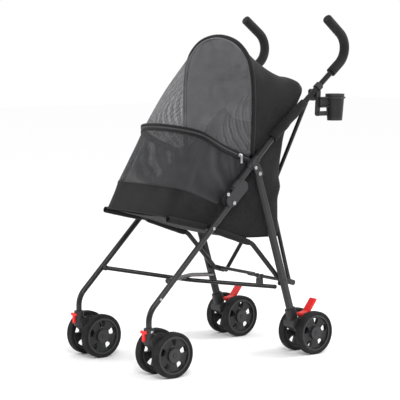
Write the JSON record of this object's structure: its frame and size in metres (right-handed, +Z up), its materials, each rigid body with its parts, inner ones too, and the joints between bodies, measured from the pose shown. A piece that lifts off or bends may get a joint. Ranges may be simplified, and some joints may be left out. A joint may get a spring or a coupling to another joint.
{
  "type": "pet stroller",
  "caption": "Folding pet stroller with an enclosed mesh cabin, twin caster wheels, curved foam grips, cross-braced tube frame, brake pedals and a clip-on cup holder",
  "frame": {"origin": "on the floor, at the middle of the footprint's box", "axes": "+Z up; +X to the stroller's left, across its width; -Y is the front"},
  "size_m": [0.443, 0.7355, 0.9791],
  "materials": {
    "black_cloth": "woven polyester",
    "foam": "soft black foam",
    "grey_mesh": "open net",
    "mat_cloth": "padded polyester",
    "paint": "satin black powder coat",
    "plastic": "moulded black",
    "red_plastic": "moulded red",
    "steel": "bright zinc",
    "tyre": "black EVA tread",
    "wheel_plastic": "moulded black rim"
  },
  "bodies": {
    "cabin": {"cabin_tub": "black_cloth", "front_mesh": "grey_mesh", "window_mesh": "grey_mesh", "canopy_hood": "black_cloth", "canopy_bow": "paint", "floor_mat": "mat_cloth"},
    "left_side": {"left_handle_tube": "paint", "left_grip": "foam", "left_front_hinge_plate": "plastic", "left_rear_hinge_bracket": "plastic", "left_hinge_rivets": "steel", "cup_clamp": "plastic", "cup_holder": "plastic"},
    "left_front_leg": {"left_front_leg": "paint"},
    "left_caster": {"left_caster_fork": "plastic", "left_caster_axle": "steel"},
    "left_swivel_lock": {"left_swivel_lock_tab": "red_plastic"},
    "left_rear_leg": {"left_rear_leg": "paint", "left_rear_wheel_bracket": "plastic", "left_rear_axle": "steel"},
    "left_brake": {"left_brake_pedal": "red_plastic"},
    "left_rail": {"left_rail": "paint"},
    "left_spreader": {"left_spreader_bar": "paint"},
    "left_rear_brace": {"left_rear_brace": "paint"},
    "left_lower_brace": {"left_lower_brace": "paint"},
    "left_front_inner_wheel": {"left_front_inner_rim": "wheel_plastic", "left_front_inner_tyre": "tyre"},
    "left_front_outer_wheel": {"left_front_outer_rim": "wheel_plastic", "left_front_outer_tyre": "tyre"},
    "left_rear_inner_wheel": {"left_rear_inner_rim": "wheel_plastic", "left_rear_inner_tyre": "tyre"},
    "left_rear_outer_wheel": {"left_rear_outer_rim": "wheel_plastic", "left_rear_outer_tyre": "tyre"},
    "right_side": {"right_handle_tube": "paint", "right_grip": "foam", "right_front_hinge_plate": "plastic", "right_rear_hinge_bracket": "plastic", "right_hinge_rivets": "steel"},
    "right_front_leg": {"right_front_leg": "paint"},
    "right_caster": {"right_caster_fork": "plastic", "right_caster_axle": "steel"},
    "right_swivel_lock": {"right_swivel_lock_tab": "red_plastic"},
    "right_rear_leg": {"right_rear_leg": "paint", "right_rear_wheel_bracket": "plastic", "right_rear_axle": "steel"},
    "right_brake": {"right_brake_pedal": "red_plastic"},
    "right_rail": {"right_rail": "paint"},
    "right_spreader": {"right_spreader_bar": "paint"},
    "right_rear_brace": {"right_rear_brace": "paint"},
    "right_lower_brace": {"right_lower_brace": "paint"},
    "right_front_inner_wheel": {"right_front_inner_rim": "wheel_plastic", "right_front_inner_tyre": "tyre"},
    "right_front_outer_wheel": {"right_front_outer_rim": "wheel_plastic", "right_front_outer_tyre": "tyre"},
    "right_rear_inner_wheel": {"right_rear_inner_rim": "wheel_plastic", "right_rear_inner_tyre": "tyre"},
    "right_rear_outer_wheel": {"right_rear_outer_rim": "wheel_plastic", "right_rear_outer_tyre": "tyre"},
    "spreader_lock": {"spreader_lock": "plastic"}
  },
  "joints": [
    {"name": "left_side_slide", "type": "slide", "parent": "cabin", "child": "left_side", "axis": [1, 0, 0], "range_m": [-0.105, 0], "deforming": ["cabin_tub", "front_mesh", "window_mesh", "canopy_hood", "canopy_bow", "floor_mat"]},
    {"name": "left_front_leg_fold", "type": "hinge", "parent": "left_side", "child": "left_front_leg", "pos_m": [0.17, -0.0617, 0.457], "axis": [1, 0, 0], "range_deg": [-84, 0]},
    {"name": "left_caster_swivel", "type": "hinge", "parent": "left_front_leg", "child": "left_caster", "pos_m": [0.17, -0.3477, 0.12], "axis": [0, 0, 1], "continuous": true},
    {"name": "left_swivel_lock_slide", "type": "slide", "parent": "left_caster", "child": "left_swivel_lock", "axis": [0, 0, 1], "range_m": [-0.006, 0]},
    {"name": "left_rear_leg_fold", "type": "hinge", "parent": "left_side", "child": "left_rear_leg", "pos_m": [0.17, 0.0313, 0.534], "axis": [1, 0, 0], "range_deg": [-33, 0]},
    {"name": "left_brake_press", "type": "hinge", "parent": "left_rear_leg", "child": "left_brake", "pos_m": [0.17, 0.1993, 0.112], "axis": [1, 0, 0], "range_deg": [-16, 0]},
    {"name": "left_rail_fold", "type": "hinge", "parent": "left_rear_leg", "child": "left_rail", "pos_m": [0.15, 0.1323, 0.221], "axis": [1, 0, 0], "range_deg": [-9.14, 0]},
    {"name": "left_spreader_fold", "type": "hinge", "parent": "left_rear_leg", "child": "left_spreader", "pos_m": [0.148, 0.1473, 0.216], "axis": [0, 1, 0], "range_deg": [-72, 0]},
    {"name": "left_rear_brace_fold", "type": "hinge", "parent": "left_side", "child": "left_rear_brace", "pos_m": [0.15, 0.2393, 0.741], "axis": [-0.6012, -0.6823, 0.4158], "range_deg": [0, 27.2]},
    {"name": "left_lower_brace_fold", "type": "hinge", "parent": "left_front_leg", "child": "left_lower_brace", "pos_m": [0.15, -0.26762, 0.25468], "axis": [0.6083, 0.3639, -0.7054], "range_deg": [0, 36.7]},
    {"name": "left_front_inner_spin", "type": "hinge", "parent": "left_caster", "child": "left_front_inner_wheel", "pos_m": [0.1325, -0.2967, 0.0625], "axis": [1, 0, 0], "continuous": true},
    {"name": "left_front_outer_spin", "type": "hinge", "parent": "left_caster", "child": "left_front_outer_wheel", "pos_m": [0.2075, -0.2967, 0.0625], "axis": [1, 0, 0], "continuous": true},
    {"name": "left_rear_inner_spin", "type": "hinge", "parent": "left_rear_leg", "child": "left_rear_inner_wheel", "pos_m": [0.1325, 0.2173, 0.0625], "axis": [1, 0, 0], "continuous": true},
    {"name": "left_rear_outer_spin", "type": "hinge", "parent": "left_rear_leg", "child": "left_rear_outer_wheel", "pos_m": [0.2075, 0.2173, 0.0625], "axis": [1, 0, 0], "continuous": true},
    {"name": "right_side_slide", "type": "slide", "parent": "cabin", "child": "right_side", "axis": [1, 0, 0], "range_m": [0, 0.105]},
    {"name": "right_front_leg_fold", "type": "hinge", "parent": "right_side", "child": "right_front_leg", "pos_m": [-0.17, -0.0617, 0.457], "axis": [1, 0, 0], "range_deg": [-84, 0]},
    {"name": "right_caster_swivel", "type": "hinge", "parent": "right_front_leg", "child": "right_caster", "pos_m": [-0.17, -0.3477, 0.12], "axis": [0, 0, 1], "continuous": true},
    {"name": "right_swivel_lock_slide", "type": "slide", "parent": "right_caster", "child": "right_swivel_lock", "axis": [0, 0, 1], "range_m": [-0.006, 0]},
    {"name": "right_rear_leg_fold", "type": "hinge", "parent": "right_side", "child": "right_rear_leg", "pos_m": [-0.17, 0.0313, 0.534], "axis": [1, 0, 0], "range_deg": [-33, 0]},
    {"name": "right_brake_press", "type": "hinge", "parent": "right_rear_leg", "child": "right_brake", "pos_m": [-0.17, 0.1993, 0.112], "axis": [1, 0, 0], "range_deg": [-16, 0]},
    {"name": "right_rail_fold", "type": "hinge", "parent": "right_rear_leg", "child": "right_rail", "pos_m": [-0.15, 0.1323, 0.221], "axis": [1, 0, 0], "range_deg": [-9.14, 0]},
    {"name": "right_spreader_fold", "type": "hinge", "parent": "right_rear_leg", "child": "right_spreader", "pos_m": [-0.148, 0.1595, 0.216], "axis": [0, 1, 0], "range_deg": [0, 72]},
    {"name": "right_rear_brace_fold", "type": "hinge", "parent": "right_side", "child": "right_rear_brace", "pos_m": [-0.15, 0.2393, 0.741], "axis": [-0.6012, 0.6823, -0.4158], "range_deg": [0, 27.2]},
    {"name": "right_lower_brace_fold", "type": "hinge", "parent": "right_front_leg", "child": "right_lower_brace", "pos_m": [-0.15, -0.26762, 0.25468], "axis": [0.6083, -0.3639, 0.7054], "range_deg": [0, 36.7]},
    {"name": "right_front_inner_spin", "type": "hinge", "parent": "right_caster", "child": "right_front_inner_wheel", "pos_m": [-0.1325, -0.2967, 0.0625], "axis": [1, 0, 0], "continuous": true},
    {"name": "right_front_outer_spin", "type": "hinge", "parent": "right_caster", "child": "right_front_outer_wheel", "pos_m": [-0.2075, -0.2967, 0.0625], "axis": [1, 0, 0], "continuous": true},
    {"name": "right_rear_inner_spin", "type": "hinge", "parent": "right_rear_leg", "child": "right_rear_inner_wheel", "pos_m": [-0.1325, 0.2173, 0.0625], "axis": [1, 0, 0], "continuous": true},
    {"name": "right_rear_outer_spin", "type": "hinge", "parent": "right_rear_leg", "child": "right_rear_outer_wheel", "pos_m": [-0.2075, 0.2173, 0.0625], "axis": [1, 0, 0], "continuous": true},
    {"name": "spreader_lock_lift", "type": "hinge", "parent": "left_spreader", "child": "spreader_lock", "pos_m": [0.045, 0.1473, 0.216], "axis": [1, 0, 0], "range_deg": [0, 40]}
  ],
  "couplings": [
    {"joint": "left_side_slide", "follows": "left_front_leg_fold", "m_per_rad": 0.071619},
    {"joint": "left_rear_leg_fold", "follows": "left_front_leg_fold", "ratio": 0.39286},
    {"joint": "left_rail_fold", "follows": "left_front_leg_fold", "ratio": 0.10881},
    {"joint": "left_spreader_fold", "follows": "left_front_leg_fold", "ratio": 0.85714},
    {"joint": "left_rear_brace_fold", "follows": "left_front_leg_fold", "ratio": -0.32381},
    {"joint": "left_lower_brace_fold", "follows": "left_front_leg_fold", "ratio": -0.4369},
    {"joint": "right_side_slide", "follows": "left_front_leg_fold", "m_per_rad": -0.071619},
    {"joint": "right_front_leg_fold", "follows": "left_front_leg_fold", "ratio": 1},
    {"joint": "right_rear_leg_fold", "follows": "left_front_leg_fold", "ratio": 0.39286},
    {"joint": "right_rail_fold", "follows": "left_front_leg_fold", "ratio": 0.10881},
    {"joint": "right_spreader_fold", "follows": "left_front_leg_fold", "ratio": -0.85714},
    {"joint": "right_rear_brace_fold", "follows": "left_front_leg_fold", "ratio": -0.32381},
    {"joint": "right_lower_brace_fold", "follows": "left_front_leg_fold", "ratio": -0.4369}
  ]
}
